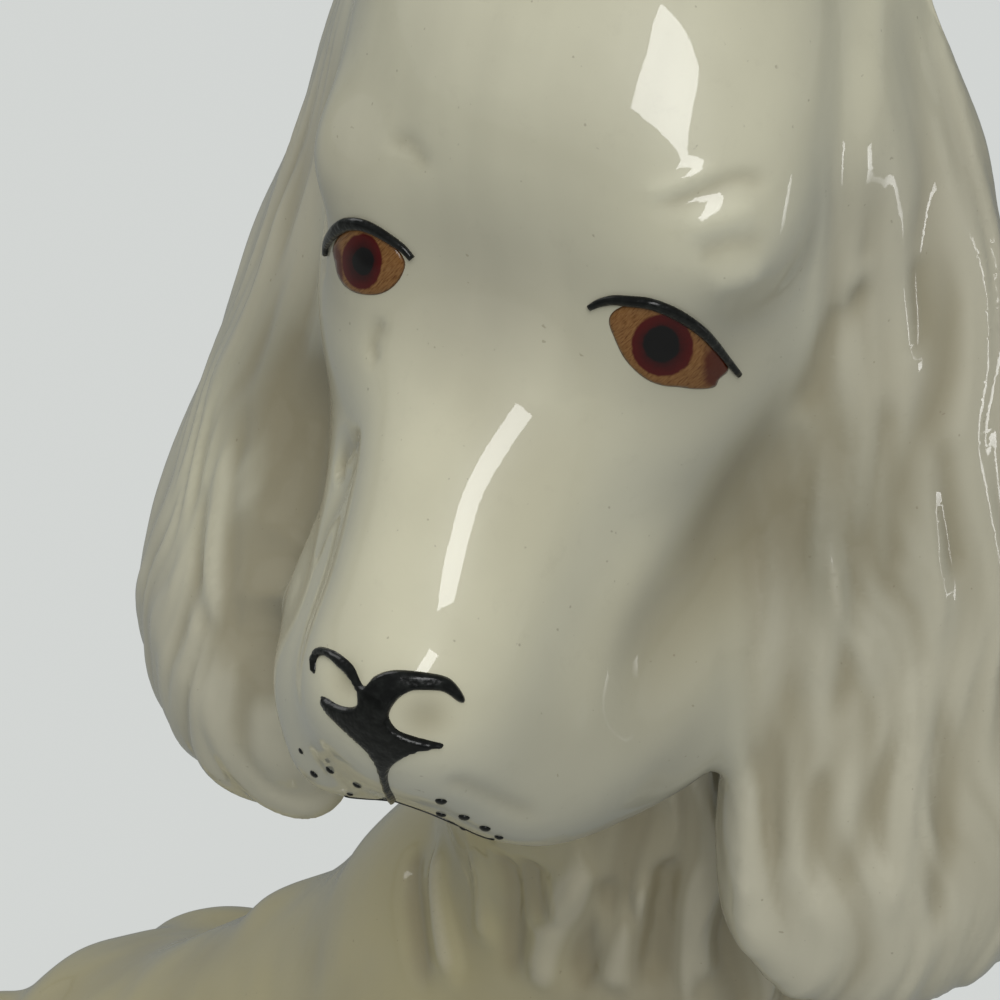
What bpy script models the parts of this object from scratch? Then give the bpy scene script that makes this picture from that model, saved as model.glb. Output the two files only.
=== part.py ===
import math

import bmesh
import bpy
import numpy as np
from mathutils import Matrix, Vector, geometry

# Sizes are in millimetres and angles in degrees, and the meshes are written in metres
mm = 0.001
seam_gap = 0.3
body_wall = 4.5
head_wall = 5.5

# Main sizes: the pupils and the withers over the ground, and the rump behind the chest
eye_height = 236.0
withers_height = 124.0
sit_length = 77.0

# Head: local x runs to the nose, y to the dog's left, z up, from a point between the pupils
eye_mid = Vector((25.0, -27.0, eye_height))
head_pitch = 21.0
skull_half = 29.5
muzzle_length = 40.0
flew_half = 19.0
jowl_half = 21.0

# The head and the body meet on a plane this far under the pupils
neck_drop = 51.0

# Ears: centres of the top and bottom rounding from the point between the pupils
ear_top = (27.0, 29.0, 20.0)
ear_low = (46.5, 9.0, -71.0)
ear_root = (24.0, 27.0, 8.0)
ear_top_half = 13.0
ear_low_half = 26.0
ear_flatness = 0.42

# The head leans over its right ear, which rests thicker and closer against the neck
right_ear_top_shift = (-4.0, 0.0, 0.0)
right_ear_low_shift = (-5.0, 2.0, 1.5)
right_ear_flatness = 0.62
ear_yaw = 45.0

# Eyes: the pupil and the slant are in the head's frame, for the left eye, and the lid's line
# is from the pupil's distance to the middle
pupil_half = skull_half - 12.5
pupil_spot = (3.9, pupil_half, 2.5)
eye_slant = (-3.5, 12.0, -10.5)
eye_long = 6.8
eye_high = 4.7
eye_deep = 2.6
eye_sunk = 1.2
lid_line = [(4.5, -7.4, 6.9), (3.4, -3.7, 9.0), (2.5, -0.2, 8.2), (1.2, 2.9, 4.2), (0.8, 4.8, -0.4),
            (0.0, 6.4, -4.8)]
lid_half = 0.7

# Painted nose and mouth: the outline is the right half, across and up, and the mouth is in the
# head's frame
enamel_gap = 0.4
enamel_thick = 0.7
nose_origin = (muzzle_length + 2.5, 0.6, -17.2)
nose_tilt = 35.0
nose_points = [(0, 3.8), (2.2, 6.0), (5.1, 6.2), (7.0, 5.7), (8.2, 4.4), (8.3, 2.9), (6.8, 4.3),
               (4.2, 4.4), (2.6, 3.3), (2.0, 1.6), (3.1, 0.2), (4.6, -0.4), (7.2, -0.8), (4.2, -2.8),
               (1.8, -4.9), (1.0, -7.4), (0.9, -11.0), (0, -12.9)]
nose_grid = 1.3
mouth_line = [(muzzle_length + x, y, z) for x, y, z in
              [(-1, -10, -36.6), (3, -4, -35), (4, 0.6, -33.6), (3.5, 4.5, -35), (-1, 11, -36.6)]]
mouth_half = 0.5

# Body and legs
chest_x = 20.0
rump_x = chest_x - sit_length
chest_half = 36.0
rump_half = 36.0
foreleg_half = 24.0
thigh_half = 27.0
hind_paw_half = 46.0
vent_spot = (rump_x - 1, 0.0, 0.0)
vent_radius = 4.0

# The tail curls to the dog's right, and its path is from the middle of the rump
tail_path = [(-27, 2, 14), (-42, -6, 12), (-49, -24, 10.5), (-41, -44, 9), (-23, -56, 7)]

# The cutters of the castings stand off by a little more than the gap, because the facets of the
# two surfaces differ, and they reach past every form
cutter_gap = 1.1 * seam_gap
cutter_reach = (200.0, 150.0)

# How the forms run into each other
head_blend = 12.5
body_blend = 16.0
pair_blend = 5.0
spare = 4.0
far = 400.0

# Colour, roughness and metallic value of each material
porcelain = ((0.66, 0.65, 0.55), 0.12, 0.0)
ear_porcelain = ((0.60, 0.57, 0.45), 0.16, 0.0)
body_porcelain = ((0.66, 0.61, 0.42), 0.14, 0.0)
eye_glaze = ((0.42, 0.13, 0.04), 0.05, 0.0)
black_enamel = ((0.010, 0.011, 0.016), 0.18, 0.0)


def headFrame():
    pitch = math.radians(head_pitch)
    forward = Vector((0, -math.cos(pitch), -math.sin(pitch)))
    left = Vector((1, 0, 0))
    up = forward.cross(left)
    frame = Matrix((forward, left, up)).transposed().to_4x4()
    frame.translation = eye_mid
    return frame


def ball(centre, radii, turn=(0, 0, 0)):
    spin = np.array([[math.cos(a), math.sin(a)] for a in map(math.radians, turn)])
    (cx, sx), (cy, sy), (cz, sz) = spin
    about_x = np.array([[1, 0, 0], [0, cx, -sx], [0, sx, cx]])
    about_y = np.array([[cy, 0, sy], [0, 1, 0], [-sy, 0, cy]])
    about_z = np.array([[cz, -sz, 0], [sz, cz, 0], [0, 0, 1]])
    axes = about_z @ about_y @ about_x
    radii = np.array(radii, float)

    def field(points):
        local = (points - np.array(centre)) @ axes
        near = np.linalg.norm(local / radii, axis=1)
        slope = np.linalg.norm(local / radii ** 2, axis=1)
        return near * (near - 1) / np.maximum(slope, 1e-9)
    return field


def rod(start, end, start_radius, end_radius):
    start = np.array(start, float)
    run = np.array(end, float) - start

    def field(points):
        along = (points - start) @ run / (run @ run)
        along = np.clip(along, 0, 1)
        foot = start + along[:, None] * run
        radius = start_radius + along * (end_radius - start_radius)
        return np.linalg.norm(points - foot, axis=1) - radius
    return field


def softMin(first, second, width):
    share = np.maximum(width - abs(first - second), 0) / width
    return np.minimum(first, second) - share ** 3 * width / 6


def blend(fields, width):
    def field(points):
        total = fields[0](points)
        for item in fields[1:]:
            total = softMin(total, item(points), width)
        return total
    return field


def paired(item, width):
    flip = np.array([1, -1, 1])

    def field(points):
        return softMin(item(points), item(points * flip), width)
    return field


# The form less the item, with a soft edge
def dented(form, item, width):
    def field(points):
        return -softMin(-form(points), item(points), width)
    return field


def placed(item, frame):
    back = np.array(frame.inverted())

    def field(points):
        return item(points @ back[:3, :3].T + back[:3, 3])
    return field


def surfaceRange(field, feet, rays, reach, level):
    steps = np.linspace(0, reach, 110)
    going = np.ones(len(feet), bool)
    low = np.zeros(len(feet))
    for step in steps:
        going &= field(feet + rays * step) < level
        low = np.where(going, step, low)
    high = low + steps[1]
    for _ in range(20):
        middle = (low + high) / 2
        inside = field(feet + rays * middle[:, None]) < level
        low = np.where(inside, middle, low)
        high = np.where(inside, high, middle)
    return (low + high) / 2


def skin(name, field, axis, side, rings, columns, level=0.0, reach=100.0, turn_share=0.34):
    axis = np.array(axis, float)
    pieces = np.linalg.norm(np.diff(axis, axis=0), axis=1)
    marks = np.concatenate([[0], np.cumsum(pieces)]) / pieces.sum()
    side = np.array(side, float)
    feet = []
    rays = []
    for ring in range(rings + 1):
        share = ring / rings
        along = (share - turn_share / 2) / (1 - turn_share)
        along = min(max(along, 0), 1)
        foot = np.array([np.interp(along, marks, axis[:, k]) for k in range(3)])
        ahead = np.array([np.interp(min(along + 0.08, 1), marks, axis[:, k]) for k in range(3)])
        behind = np.array([np.interp(max(along - 0.08, 0), marks, axis[:, k]) for k in range(3)])
        tangent = ahead - behind
        tangent /= np.linalg.norm(tangent)
        across = side - tangent * (side @ tangent)
        across /= np.linalg.norm(across)
        rise = np.cross(tangent, across)
        polar = math.pi * share
        if share < turn_share:
            polar = math.pi / 2 * share / turn_share
        elif share > 1 - turn_share:
            polar = math.pi - math.pi / 2 * (1 - share) / turn_share
        else:
            polar = math.pi / 2
        for column in range(columns if 0 < ring < rings else 1):
            angle = 2 * math.pi * column / columns
            out = math.cos(angle) * rise + math.sin(angle) * across
            feet.append(foot)
            rays.append(out * math.sin(polar) - tangent * math.cos(polar))
    feet = np.array(feet)
    rays = np.array(rays)
    points = feet + rays * surfaceRange(field, feet, rays, reach, level)[:, None]
    faces = []
    last = len(points) - 1
    for column in range(columns):
        after = (column + 1) % columns
        faces.append((0, 1 + column, 1 + after))
        for ring in range(rings - 2):
            row = 1 + ring * columns
            faces.append((row + column, row + columns + column, row + columns + after, row + after))
        row = 1 + (rings - 2) * columns
        faces.append((row + column, last, row + after))
    return meshObject(name, points, faces)


def meshObject(name, points, faces):
    mesh = bpy.data.meshes.new(name)
    mesh.from_pydata([tuple(point * mm) for point in points], [], faces)
    work = bmesh.new()
    work.from_mesh(mesh)
    bmesh.ops.triangulate(work, faces=work.faces, quad_method="SHORT_EDGE")
    bmesh.ops.recalc_face_normals(work, faces=work.faces)
    work.to_mesh(mesh)
    work.free()
    for face in mesh.polygons:
        face.use_smooth = True
    return bpy.data.objects.new(name, mesh)


# A copy that stands off the first by the seam gap, to cut its neighbours back
def grown(item, name):
    work = bmesh.new()
    work.from_mesh(item.data)
    work.normal_update()
    moves = [vertex.normal * cutter_gap * mm for vertex in work.verts]
    for vertex, move in zip(work.verts, moves):
        vertex.co += move
    mesh = bpy.data.meshes.new(name)
    work.to_mesh(mesh)
    work.free()
    return bpy.data.objects.new(name, mesh)


def box(name, low, high):
    work = bmesh.new()
    bmesh.ops.create_cube(work, size=1)
    low = Vector(low)
    high = Vector(high)
    for vertex in work.verts:
        place = [low[k] + (vertex.co[k] + 0.5) * (high[k] - low[k]) for k in range(3)]
        vertex.co = Vector(place) * mm
    mesh = bpy.data.meshes.new(name)
    work.to_mesh(mesh)
    work.free()
    return bpy.data.objects.new(name, mesh)


def cylinder(name, centre, radius, depth):
    work = bmesh.new()
    bmesh.ops.create_cone(work, cap_ends=True, segments=24, radius1=radius * mm,
                          radius2=radius * mm, depth=depth * mm)
    bmesh.ops.translate(work, verts=work.verts, vec=Vector(centre) * mm)
    mesh = bpy.data.meshes.new(name)
    work.to_mesh(mesh)
    work.free()
    return bpy.data.objects.new(name, mesh)


def cut(target, cutter):
    step = target.modifiers.new(cutter.name, "BOOLEAN")
    step.operation = "DIFFERENCE"
    step.solver = "EXACT"
    step.object = cutter


def headLocal():
    nose = muzzle_length
    lip = flew_half - 10
    forms = [
        ball((-31, 0, 5), (33, skull_half, 30)),
        ball((-22, 0, 13), (22, 18, 18)),
        rod((-8, 0, -6), (nose - 7, 0, -22), 17, 12.5),
        ball((nose + 0.3, 0, -24.8), (7.7, 11, 11.6)),
        paired(rod((-16, 12, -20), (12, lip, -33), 16, 14.5), pair_blend),
        paired(rod((12, lip, -33), (nose - 7, lip + 0.5, -37.6), 14.5, 13), pair_blend),
        paired(rod((-2, jowl_half - 3, -30), (19, jowl_half, -46), 8, 8), pair_blend),
        paired(rod((19, jowl_half, -46), (27, jowl_half - 3, -45.5), 8, 7.5), pair_blend),
        rod((-12, 0, -30), (nose - 10, 0, -40.5), 15, 6.5),
        paired(ball((-22, 16, -12), (25, 14, 21)), pair_blend),
        paired(ball((-2, 13, -12), (14, 12, 15)), pair_blend),
        paired(ball((-6, 16, 9), (8, 9, 6)), pair_blend)]
    valley = paired(rod((2, 31, -25), (29, 25, -27), 5, 5), pair_blend)
    pleat = ball((12, -31, -36), (9, 8, 11))
    return dented(dented(blend(forms, head_blend), valley, 5), pleat, 5)


def figureField():
    withers = withers_height
    neck = rod((chest_x + 4, 0, withers + 26), (eye_mid.x, 1, eye_height - 21), 23.5, 26)
    mane = rod((chest_x + 15, 0, eye_height - 58), (chest_x + 14, 0, withers - 12), 21, 29)
    chest = ball((chest_x + 2, 0, withers - 38), (38, chest_half, 43))
    loin = rod((chest_x - 12, 0, withers - 45), (rump_x + 13, 0, 30), 28, 24)
    rump = ball((rump_x, 0, 17), (34, rump_half, 23))
    head = placed(headLocal(), headFrame())
    return blend([chest, loin, rump, mane, neck, head], body_blend)


def clipped(field, low, high):
    back = np.array(headFrame().inverted())

    def limited(points):
        rise = points @ back[2, :3] + back[2, 3]
        return np.maximum(field(points), np.maximum(low - rise, rise - high))
    return limited


def grounded(field, depth):
    def limited(points):
        return np.maximum(field(points), -depth - points[:, 2])
    return limited


def earSpot(spot, right_shift, side):
    if side > 0:
        return Vector(spot)
    spot = Vector(spot) + Vector(right_shift)
    return Vector((-spot.x, spot.y, spot.z))


def earFrame(side):
    top = earSpot(ear_top, right_ear_top_shift, side)
    low = earSpot(ear_low, right_ear_low_shift, side)
    up = (top - low).normalized()
    yaw = math.radians(ear_yaw)
    wide = Vector((side * math.sin(yaw), math.cos(yaw), 0))
    wide = (wide - up * wide.dot(up)).normalized()
    frame = Matrix((wide.cross(up), wide, up)).transposed().to_4x4()
    frame.translation = eye_mid + low
    return frame, (top - low).length


def flattened(item, share):
    scale = np.array([1 / share, 1, 1])

    def field(points):
        return item(points * scale) * share
    return field


def earField(side):
    frame, run = earFrame(side)
    flatness = ear_flatness if side > 0 else right_ear_flatness
    lobe = rod((0, 0, 0), (0, 0, run), ear_low_half, ear_top_half)
    lobe = placed(flattened(lobe, flatness), frame)
    spot = eye_mid + earSpot(ear_root, right_ear_top_shift, side)
    return blend([lobe, ball(tuple(spot), (12, 18, 22))], 10)


def legField(side):
    y = side * foreleg_half
    top = withers_height
    shoulder = ball((chest_x + 8, side * (foreleg_half - 4), top - 28), (24, 15, 27))
    upper = rod((chest_x + 13, side * (foreleg_half - 3), top - 36), (chest_x + 26, y, 22), 18, 12)
    paw = ball((chest_x + 35, y, 8), (18, 13.5, 12))
    return blend([shoulder, upper, paw], 9)


def haunchField(side):
    thigh = ball((rump_x + 9, side * thigh_half, 12), (33, 18, 22))
    foot = rod((rump_x + 17, side * (hind_paw_half - 4), 10),
               (rump_x + 53, side * hind_paw_half, 9), 11, 10)
    return blend([thigh, foot], 12)


def tailField():
    path = [(rump_x + x, y, z) for x, y, z in tail_path]
    radii = [12, 11.5, 10.5, 9, 6]
    rods = [rod(path[k], path[k + 1], radii[k], radii[k + 1]) for k in range(4)]
    return blend(rods, 4)


def local(point):
    return headFrame() @ Vector(point)


def gradient(field, point):
    steps = np.concatenate([np.eye(3), -np.eye(3)]) * 0.5
    values = field(np.array(point) + steps)
    return Vector(values[:3] - values[3:]).normalized()


def onSkin(field, points, direction, level):
    points = np.array(points, float)
    rays = np.tile(np.array(direction, float), (len(points), 1))
    low = np.full(len(points), -10.0)
    high = np.full(len(points), 12.0)
    for step in np.linspace(12, -10, 56):
        outside = field(points + rays * step) > level
        clear = outside & (high >= step - 1)
        high = np.where(clear, step, high)
    low = high - 0.8
    for _ in range(18):
        middle = (low + high) / 2
        inside = field(points + rays * middle[:, None]) < level
        low = np.where(inside, middle, low)
        high = np.where(inside, high, middle)
    return points + rays * high[:, None]


def almond(name, frame, grow):
    rings = 14
    columns = 16
    points = [Vector((eye_long + grow, 0, 0))]
    for ring in range(1, rings):
        turn = math.pi * ring / rings
        share = math.sin(turn) ** 1.25
        along = (eye_long + grow) * math.cos(turn)
        for column in range(columns):
            angle = 2 * math.pi * column / columns
            high = (eye_high + grow) * share * math.cos(angle)
            deep = (eye_deep + grow) * share * math.sin(angle)
            points.append(Vector((along, high, deep)))
    points.append(Vector((-eye_long - grow, 0, 0)))
    last = len(points) - 1
    faces = []
    for column in range(columns):
        after = (column + 1) % columns
        faces.append((0, 1 + column, 1 + after))
        for ring in range(rings - 2):
            row = 1 + ring * columns
            faces.append((row + column, row + columns + column, row + columns + after, row + after))
        row = 1 + (rings - 2) * columns
        faces.append((row + column, last, row + after))
    return meshObject(name, [frame @ point for point in points], faces)


def eyeFrame(field, side):
    spot = local((pupil_spot[0], side * pupil_spot[1], pupil_spot[2]))
    out = gradient(field, spot)
    spot = Vector(onSkin(field, [spot], out, 0)[0])
    long = local((eye_slant[0], side * eye_slant[1], eye_slant[2])) - eye_mid
    long = (long - out * long.dot(out)).normalized()
    frame = Matrix((long, out.cross(long), out)).transposed().to_4x4()
    frame.translation = spot - out * eye_sunk
    return frame


def enamelPatch(name, field, outline, origin, tilt):
    tilt = math.radians(tilt)
    out = (local((math.cos(tilt), 0, math.sin(tilt))) - eye_mid).normalized()
    up = (local((-math.sin(tilt), 0, math.cos(tilt))) - eye_mid).normalized()
    left = Vector((1, 0, 0))
    inner = []
    for column in range(-7, 8):
        for row in range(-12, 8):
            inner.append((column * nose_grid, row * nose_grid))
    flat = [Vector(point) for point in list(outline) + inner]
    ring = list(range(len(outline)))
    made = geometry.delaunay_2d_cdt(flat, [], [ring], 1, 1e-4)
    kept = sorted({index for triangle in made[2] for index in triangle})
    place = {index: order for order, index in enumerate(kept)}
    spots = [made[0][index] for index in kept]
    triangles = [[place[index] for index in triangle] for triangle in made[2]]
    base = np.array([tuple(local(origin) + left * spot.x + up * spot.y) for spot in spots])
    under = onSkin(field, base, out, enamel_gap)
    over = onSkin(field, base, out, enamel_gap + enamel_thick)
    count = len(spots)
    used = {}
    for triangle in triangles:
        for k in range(3):
            edge = (triangle[k], triangle[(k + 1) % 3])
            used[edge] = used.get(edge, 0) + 1
    faces = []
    for triangle in triangles:
        faces.append(tuple(index + count for index in triangle))
        faces.append(tuple(reversed(triangle)))
    for first, second in used:
        if (second, first) not in used:
            faces.append((first, second, second + count, first + count))
    points = np.concatenate([under, over])
    return meshObject(name, points, faces)


def stroke(name, field, line, widths):
    rows = []
    line = [local(point) for point in line]
    for index, point in enumerate(line):
        before = line[max(index - 1, 0)]
        after = line[min(index + 1, len(line) - 1)]
        out = gradient(field, point)
        across = out.cross(after - before).normalized()
        half = widths[index]
        section = [(-half, 0.0), (-half * 0.7, 0.8), (0, 1.0), (half * 0.7, 0.8), (half, 0.0)]
        for shift, rise in section:
            level = enamel_gap + enamel_thick * rise
            rows.append(onSkin(field, [point + across * shift], out, level)[0])
    faces = []
    for index in range(len(line) - 1):
        row = index * 5
        for k in range(5):
            after = (k + 1) % 5
            faces.append((row + k, row + after, row + 5 + after, row + 5 + k))
    faces.append((0, 1, 2, 3, 4))
    end = (len(line) - 1) * 5
    faces.append(tuple(end + k for k in range(5)))
    return meshObject(name, rows, faces)


def smoothLine(points, steps):
    points = [np.array(point, float) for point in points]
    padded = [2 * points[0] - points[1]] + points + [2 * points[-1] - points[-2]]
    made = []
    for index in range(1, len(padded) - 2):
        p0, p1, p2, p3 = padded[index - 1:index + 3]
        for step in range(steps):
            t = step / steps
            turn = 2 * p1 + (p2 - p0) * t + (2 * p0 - 5 * p1 + 4 * p2 - p3) * t * t
            made.append((turn + (3 * p1 - p0 - 3 * p2 + p3) * t ** 3) / 2)
    made.append(points[-1])
    return made


def noseOutline():
    right = smoothLine(nose_points, 2)
    left = [np.array((-point[0], point[1])) for point in reversed(right)]
    return [tuple(point) for point in right + left[1:-1]]


def newCollection(name):
    made = bpy.data.collections.new(name)
    bpy.context.scene.collection.children.link(made)
    return made


def paint(item, finish):
    colour, roughness, metallic = finish
    made = bpy.data.materials.new(item.name)
    made.use_nodes = True
    shader = made.node_tree.nodes["Principled BSDF"]
    shader.inputs["Base Color"].default_value = (*colour, 1)
    shader.inputs["Roughness"].default_value = roughness
    shader.inputs["Metallic"].default_value = metallic
    made.diffuse_color = (*colour, 1)
    item.data.materials.append(made)


def addPart(item, finish, cutters):
    paint(item, finish)
    figure.objects.link(item)
    for cutter in cutters:
        cut(item, cutter)
    return item


def addCutter(item):
    cutting.objects.link(item)
    item.hide_render = True
    item.display_type = "WIRE"
    return item


def inHeadFrame(item):
    item.data.transform(Matrix.Scale(1 / mm, 4))
    item.data.transform(headFrame())
    item.data.transform(Matrix.Scale(mm, 4))
    return item


# Each casting runs past the seam and is cut there, and so does the hollow that opens it
def buildHead():
    axis = [local((-34, 0, 2)), local((0, 0, -10)), local((muzzle_length - 8, 0, -23))]
    form = clipped(whole, -neck_drop - spare, far)
    core = clipped(whole, -neck_drop - spare - head_wall, far)
    side = (1, 0, 0)
    casting = skin("head_casting", form, axis, side, 40, 36)
    hollow = addCutter(skin("head_hollow", core, axis, side, 18, 16, level=-head_wall))
    wide, tall = cutter_reach
    under = box("under_head", (-wide, -wide, -tall), (wide, wide, -neck_drop + seam_gap / 2))
    under = addCutter(inHeadFrame(under))
    stand = addCutter(grown(casting, "head_stand"))
    return addPart(casting, porcelain, [under, hollow]), stand


def buildBody(below):
    top = withers_height
    axis = [(rump_x - 3, 0, 20), (rump_x + 37, 0, 50), (chest_x - 8, 0, top - 28),
            (chest_x + 4, 0, top + 21), (eye_mid.x, 0, eye_height - neck_drop)]
    form = grounded(clipped(whole, -far, spare - neck_drop), spare)
    core = grounded(clipped(whole, -far, spare - neck_drop + body_wall), 0)
    side = (0, 1, 0)
    casting = skin("body_casting", form, axis, side, 36, 30)
    hollow = addCutter(skin("body_hollow", core, axis, side, 18, 14, level=-body_wall))
    wide, tall = cutter_reach
    over = box("over_body", (-wide, -wide, -neck_drop - seam_gap / 2), (wide, wide, tall))
    over = addCutter(inHeadFrame(over))
    vent = addCutter(cylinder("vent", vent_spot, vent_radius, 4 * body_wall))
    addPart(casting, body_porcelain, [over, hollow, below, vent])
    return addCutter(grown(casting, "body_stand"))


def buildEye(side, word, head):
    seat = eyeFrame(whole, side)
    addPart(almond("eye_" + word, seat, 0), eye_glaze, [])
    socket = addCutter(almond("socket_" + word, seat, seam_gap))
    cut(head, socket)
    return socket


def buildLid(side, word, socket):
    points = smoothLine([(x, side * (pupil_half + y), z) for x, y, z in lid_line], 3)
    count = len(points) - 1
    widths = [lid_half * (0.45 + 0.55 * math.sin(math.pi * k / count)) for k in range(count + 1)]
    addPart(stroke("lid_line_" + word, whole, points, widths), black_enamel, [socket])


def buildEar(side, word, stands):
    frame, run = earFrame(side)
    axis = [tuple(frame @ Vector((0, 0, step))) for step in (run - 2, 0)]
    lobe = skin("ear_" + word, earField(side), axis, (1, -0.8 * side, 0), 23, 20)
    addPart(lobe, ear_porcelain, stands)


def buildLegs(side, word, stand, below):
    axis = [(chest_x + 14, side * foreleg_half, withers_height - 32),
            (chest_x + 27, side * foreleg_half, 15)]
    leg = skin("foreleg_" + word, legField(side), axis, (0, 1, 0), 20, 16)
    addPart(leg, body_porcelain, [stand, below])
    axis = [(rump_x - 1, side * thigh_half, 14), (rump_x + 21, side * (thigh_half + 6), 13),
            (rump_x + 51, side * (hind_paw_half - 1), 9)]
    haunch = skin("hind_leg_" + word, haunchField(side), axis, (0, 1, 0), 22, 18)
    addPart(haunch, body_porcelain, [stand, below])


def buildTail(stand, below):
    axis = [(rump_x + x, y, z) for x, y, z in tail_path[1:-1]]
    axis = [(rump_x - 31, 0, 16)] + axis + [(rump_x - 27, -54, 8)]
    tail = skin("tail", tailField(), axis, (0, 0, 1), 22, 12)
    addPart(tail, body_porcelain, [stand, below])


def buildNoseAndMouth():
    nose = enamelPatch("nose_enamel", whole, noseOutline(), nose_origin, nose_tilt)
    addPart(nose, black_enamel, [])
    points = smoothLine(mouth_line, 3)
    addPart(stroke("mouth_line", whole, points, [mouth_half] * len(points)), black_enamel, [])


# The origin goes to the middle of the figure's footprint, on the ground
def centreFigure():
    corners = [vertex.co for item in figure.objects for vertex in item.data.vertices]
    middle = [(min(c[k] for c in corners) + max(c[k] for c in corners)) / 2 for k in range(2)]
    for item in list(figure.objects) + list(cutting.objects):
        item.data.transform(Matrix.Translation((-middle[0], -middle[1], 0)))


def buildAll():
    head, head_stand = buildHead()
    wide, tall = cutter_reach
    below = addCutter(box("below_ground", (-wide, -wide, -tall), (wide, wide, 0)))
    body_stand = buildBody(below)
    for side, word in ((1, "left"), (-1, "right")):
        socket = buildEye(side, word, head)
        buildLid(side, word, socket)
        buildEar(side, word, [head_stand, body_stand])
        buildLegs(side, word, body_stand, below)
    buildTail(body_stand, below)
    buildNoseAndMouth()
    centreFigure()


for leftover in list(bpy.data.objects):
    bpy.data.objects.remove(leftover)
figure = newCollection("spaniel")
cutting = newCollection("cutters")
whole = figureField()
buildAll()
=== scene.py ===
import math

import bmesh
import bpy
import numpy as np
from mathutils import Matrix, Vector, noise
from mathutils.bvhtree import BVHTree
from mathutils.geometry import delaunay_2d_cdt


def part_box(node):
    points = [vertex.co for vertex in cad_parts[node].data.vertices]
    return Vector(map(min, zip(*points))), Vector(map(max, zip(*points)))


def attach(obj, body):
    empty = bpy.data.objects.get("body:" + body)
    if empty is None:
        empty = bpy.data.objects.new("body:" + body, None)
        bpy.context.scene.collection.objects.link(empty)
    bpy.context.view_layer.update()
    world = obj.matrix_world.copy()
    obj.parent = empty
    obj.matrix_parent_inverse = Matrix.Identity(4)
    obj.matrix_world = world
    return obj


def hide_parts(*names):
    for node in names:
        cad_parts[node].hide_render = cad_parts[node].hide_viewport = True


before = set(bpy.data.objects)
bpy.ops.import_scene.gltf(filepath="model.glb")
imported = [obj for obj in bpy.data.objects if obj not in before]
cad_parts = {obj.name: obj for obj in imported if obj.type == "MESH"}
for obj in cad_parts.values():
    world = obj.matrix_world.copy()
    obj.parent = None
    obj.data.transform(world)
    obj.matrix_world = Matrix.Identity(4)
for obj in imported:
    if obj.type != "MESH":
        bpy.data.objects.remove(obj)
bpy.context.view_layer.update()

mm = 0.001

# Where the photo was taken from, in mm from the point between the pupils. Search is the range of steps,
# in mm, along a line of sight that misses the figure
eyeMiddle = (37.4, -21.67, 236.0)
headPitch = 21.0
shot = {"azimuth": 24.38, "elevation": 39.91, "angle": 22.83, "away": (86.51, -197.17, 150.56),
        "frame": 1000.0, "pixelsPerMm": 9.6, "search": (220, 420, 3), "clipStart": 0.01}


# The right and the backward direction of what looks at the head from an azimuth and an elevation
def standing(azimuth, elevation):
    turn = math.radians(azimuth)
    rise = math.radians(elevation)
    toward = Vector((math.sin(turn) * math.cos(rise), -math.cos(turn) * math.cos(rise), math.sin(rise)))
    return Vector((math.cos(turn), math.sin(turn), 0)), toward


def placed(right, toward, spot):
    place = Matrix((right, toward.cross(right), toward)).transposed().to_4x4()
    place.translation = spot
    return place


shotRight, shotToward = standing(shot["azimuth"], shot["elevation"])
shotUp = shotToward.cross(shotRight)
shotSpot = (Vector(eyeMiddle) + Vector(shot["away"])) * mm


def newObject(name, data):
    made = bpy.data.objects.new(name, data)
    bpy.context.scene.collection.objects.link(made)
    return made


def makeCamera():
    data = bpy.data.cameras.new("photo_camera")
    data.sensor_fit = "HORIZONTAL"
    data.angle = math.radians(shot["angle"])
    data.clip_start = shot["clipStart"]
    camera = newObject("photo_camera", data)
    camera.matrix_world = placed(shotRight, shotToward, shotSpot)
    bpy.context.scene.camera = camera


# The line of sight through a pixel of the photo
def sight(x, y):
    reach = 0.5 / math.tan(math.radians(shot["angle"]) / 2)
    across = x / shot["frame"] - 0.5
    rise = 0.5 - y / shot["frame"]
    return shotSpot, (shotRight * across + shotUp * rise - shotToward * reach).normalized()


headTurn = math.radians(headPitch)
headForward = np.array([0, -math.cos(headTurn), -math.sin(headTurn)])
headLeft = np.array([1.0, 0, 0])
headUp = np.cross(headForward, headLeft)
headAxes = np.stack([headForward, headLeft, headUp], 1)


# From the dog's own head: x to the nose, y to its left, z up, in mm
def inHead(points):
    return (points / mm - np.array(eyeMiddle)) @ headAxes


def ease(value, low, high):
    share = np.clip((value - low) / (high - low), 0, 1)
    return share * share * (3 - 2 * share)


def bump(points, centre, radii):
    away = ((points - np.array(centre)) / np.array(radii)) ** 2
    return np.exp(-away.sum(1))


# Soft noise of a size in mm; each seed reads another part of it
seedSteps = (7.31, 3.17, 5.93)


def cloud(points, size, seed):
    shift = Vector([seed * step for step in seedSteps])
    scaled = points / (size * mm)
    return np.array([noise.noise(Vector(p) + shift) for p in scaled])


# A smooth line through points
def catmull(points, steps, closed):
    points = [np.array(p, float) for p in points]
    count = len(points)
    made = []
    spans = count if closed else count - 1
    for index in range(spans):
        if closed:
            p0, p1, p2, p3 = [points[(index + k) % count] for k in (-1, 0, 1, 2)]
        else:
            p1, p2 = points[index], points[index + 1]
            p0 = points[index - 1] if index > 0 else 2 * p1 - p2
            p3 = points[index + 2] if index + 2 < count else 2 * p2 - p1
        for step in range(steps):
            t = step / steps
            bend = (2 * p0 - 5 * p1 + 4 * p2 - p3) * t * t + (3 * p1 - p0 - 3 * p2 + p3) * t ** 3
            made.append((2 * p1 + (p2 - p0) * t + bend) / 2)
    if not closed:
        made.append(points[-1])
    return np.array(made)


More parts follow.
